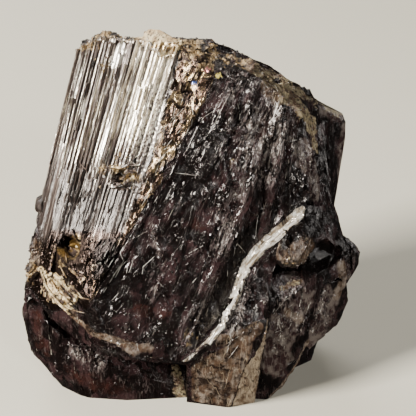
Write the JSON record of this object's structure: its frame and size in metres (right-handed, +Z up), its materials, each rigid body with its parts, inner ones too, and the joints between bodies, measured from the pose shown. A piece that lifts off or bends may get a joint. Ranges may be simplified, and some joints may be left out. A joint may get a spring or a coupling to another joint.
{
  "type": "axinite crystal",
  "caption": "Dark wedge-shaped axinite crystal with a silvery striated face, intergrown with smaller crystals, standing on its broken base.",
  "frame": {"origin": "near the middle of the flat base the specimen stands on", "axes": "+Z up, -Y towards the show side with the striated face and the dark face, +X to the show side's right"},
  "size_m": [0.0287, 0.018, 0.0296],
  "materials": {
    "axinite": "glassy, translucent at thin edges"
  },
  "bodies": {
    "root": {"axinite_crystal": "axinite"}
  },
  "joints": []
}
